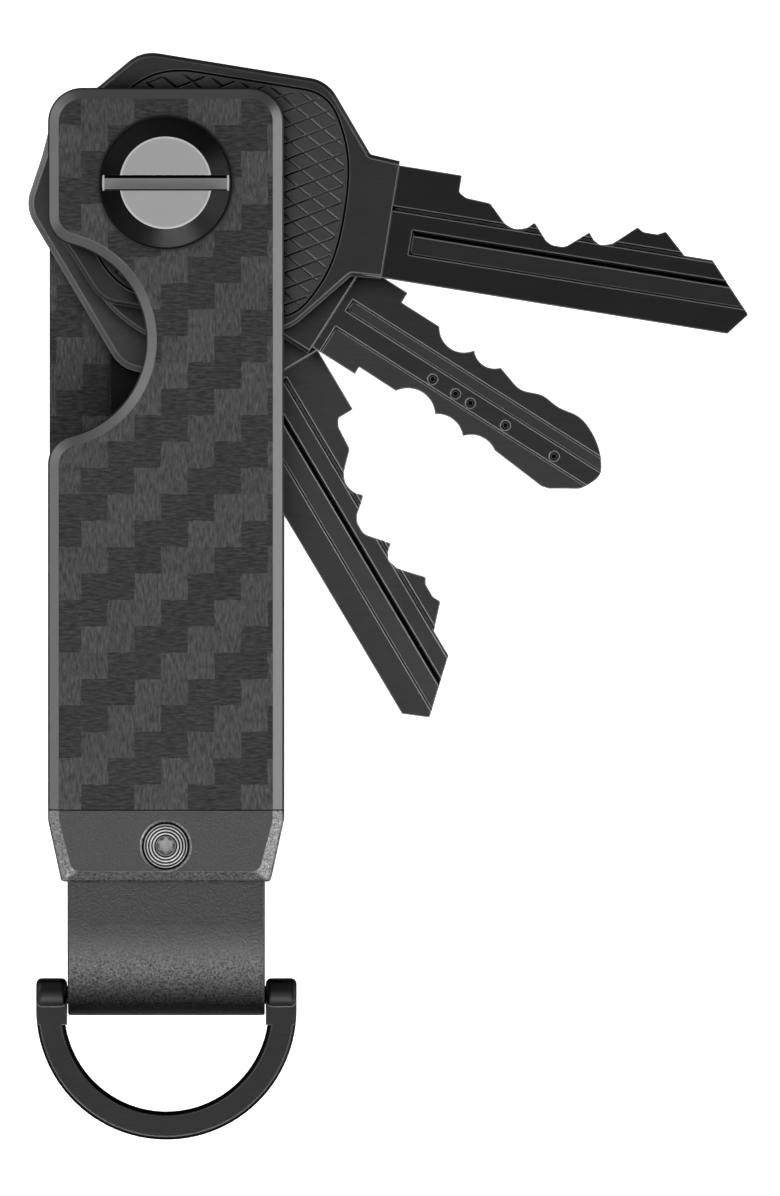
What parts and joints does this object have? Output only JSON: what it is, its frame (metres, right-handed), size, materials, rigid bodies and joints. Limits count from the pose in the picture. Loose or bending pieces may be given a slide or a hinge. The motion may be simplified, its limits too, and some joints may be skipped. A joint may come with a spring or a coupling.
{
  "type": "key organiser",
  "caption": "Slim carbon-fibre key organiser: notched side plates, fanned-out house keys on a coin-slot tension screw, and a hinged half ring on a folded metal strap.",
  "frame": {"origin": "where the pivot axis meets the rear face, which the object lies on", "axes": "+Z out of the front face along the pivot axis, +Y along the plates towards the pivot end, +X towards the side that the keys are fanned out to"},
  "size_m": [0.0555, 0.0838, 0.0141],
  "materials": {
    "carbon": "satin twill laminate with a plain sanded rim",
    "blasted_metal": "bead-blasted and dark anodised",
    "black_steel": "black oxide",
    "screw_metal": "black flank with a turned bright face",
    "key_metal": "blackened, satin",
    "ring_metal": "satin black coating",
    "washer_plastic": "plain"
  },
  "bodies": {
    "organiser": {"front_plate": "carbon", "rear_plate": "carbon", "front_end_block": "blasted_metal", "rear_end_block": "blasted_metal", "strap": "blasted_metal", "front_liner": "black_steel", "rear_liner": "black_steel", "front_block_screw": "screw_metal", "rear_block_screw": "screw_metal", "front_nut_plate": "black_steel", "rear_nut_plate": "black_steel", "barrel_nut": "black_steel", "rear_washer": "washer_plastic", "lower_key_washer": "washer_plastic", "upper_key_washer": "washer_plastic", "front_washer": "washer_plastic"},
    "key_1": {"key_1": "key_metal"},
    "key_2": {"key_2": "key_metal"},
    "key_3": {"key_3": "key_metal"},
    "ring": {"d_ring": "ring_metal", "d_ring_pin": "ring_metal"},
    "tension_screw": {"tension_screw": "screw_metal", "head_washer": "black_steel"}
  },
  "joints": [
    {"name": "key_1_swing", "type": "hinge", "parent": "organiser", "child": "key_1", "pos_m": [0, 0, 0], "axis": [0, 0, 1], "range_deg": [-80.8, 99.2]},
    {"name": "key_2_swing", "type": "hinge", "parent": "organiser", "child": "key_2", "pos_m": [0, 0, 0], "axis": [0, 0, 1], "range_deg": [-57.6, 122.4]},
    {"name": "key_3_swing", "type": "hinge", "parent": "organiser", "child": "key_3", "pos_m": [0, 0, 0], "axis": [0, 0, 1], "range_deg": [-30.7, 149.3]},
    {"name": "ring_swing", "type": "hinge", "parent": "organiser", "child": "ring", "pos_m": [0, -0.06254, 0.00615], "axis": [1, 0, 0], "range_deg": [-92, 92]},
    {"name": "screw_turn", "type": "hinge", "parent": "organiser", "child": "tension_screw", "pos_m": [0, 0, 0], "axis": [0, 0, 1], "range_deg": [0, 90]}
  ]
}
